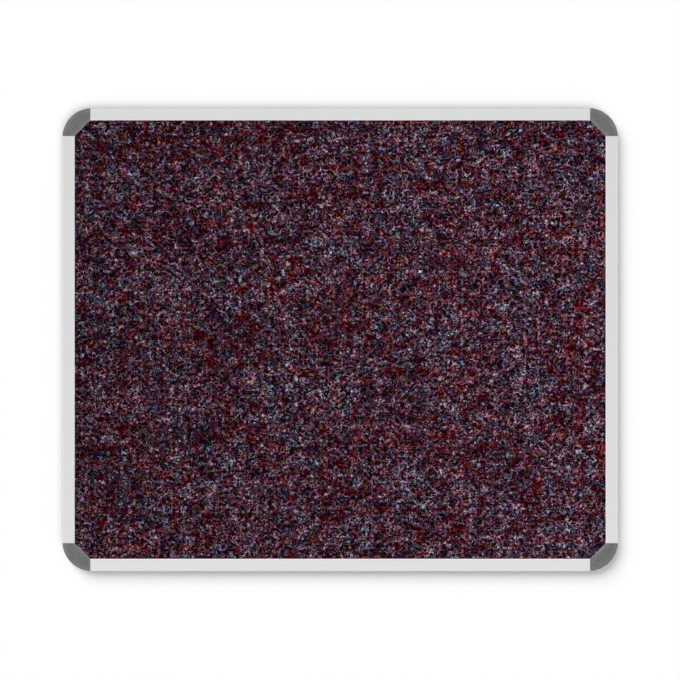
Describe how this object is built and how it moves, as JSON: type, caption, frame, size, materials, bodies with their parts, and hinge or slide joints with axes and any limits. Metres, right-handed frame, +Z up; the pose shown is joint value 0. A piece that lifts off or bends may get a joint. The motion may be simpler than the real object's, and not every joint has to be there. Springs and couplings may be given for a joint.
{
  "type": "pinboard",
  "caption": "Wall-hung felt pinboard in an aluminium frame, with rounded clip-on plastic corner covers over its fixing screws.",
  "frame": {"origin": "centre of the plane where the back of the frame touches the wall", "axes": "+X along the board's long side to the right as the board is faced, +Y from the felt into the wall, +Z up"},
  "size_m": [1.2, 0.0206, 1],
  "materials": {
    "felt": "mottled needle felt",
    "softboard": "raw insulation board",
    "hardboard": "raw, screen side out",
    "rail_aluminium": "satin anodised",
    "bracket_plastic": "moulded",
    "cover_plastic": "fine spark texture",
    "screw_steel": "zinc plated"
  },
  "bodies": {
    "board": {"felt_facing": "felt", "softboard_core": "softboard", "hardboard_backing": "hardboard", "rail_top": "rail_aluminium", "rail_bottom": "rail_aluminium", "rail_left": "rail_aluminium", "rail_right": "rail_aluminium", "bracket_top_left": "bracket_plastic", "bracket_top_right": "bracket_plastic", "bracket_bottom_left": "bracket_plastic", "bracket_bottom_right": "bracket_plastic", "screw_top_left_in_top_rail": "screw_steel", "screw_top_left_in_left_rail": "screw_steel", "screw_top_right_in_top_rail": "screw_steel", "screw_top_right_in_right_rail": "screw_steel", "screw_bottom_left_in_bottom_rail": "screw_steel", "screw_bottom_left_in_left_rail": "screw_steel", "screw_bottom_right_in_bottom_rail": "screw_steel", "screw_bottom_right_in_right_rail": "screw_steel"},
    "top_left_cover": {"cover_top_left": "cover_plastic"},
    "top_right_cover": {"cover_top_right": "cover_plastic"},
    "bottom_left_cover": {"cover_bottom_left": "cover_plastic"},
    "bottom_right_cover": {"cover_bottom_right": "cover_plastic"}
  },
  "joints": [
    {"name": "top_left_cover_pull", "type": "slide", "parent": "board", "child": "top_left_cover", "axis": [0, -1, 0], "range_m": [0, 0.03]},
    {"name": "top_right_cover_pull", "type": "slide", "parent": "board", "child": "top_right_cover", "axis": [0, -1, 0], "range_m": [0, 0.03]},
    {"name": "bottom_left_cover_pull", "type": "slide", "parent": "board", "child": "bottom_left_cover", "axis": [0, -1, 0], "range_m": [0, 0.03]},
    {"name": "bottom_right_cover_pull", "type": "slide", "parent": "board", "child": "bottom_right_cover", "axis": [0, -1, 0], "range_m": [0, 0.03]}
  ]
}
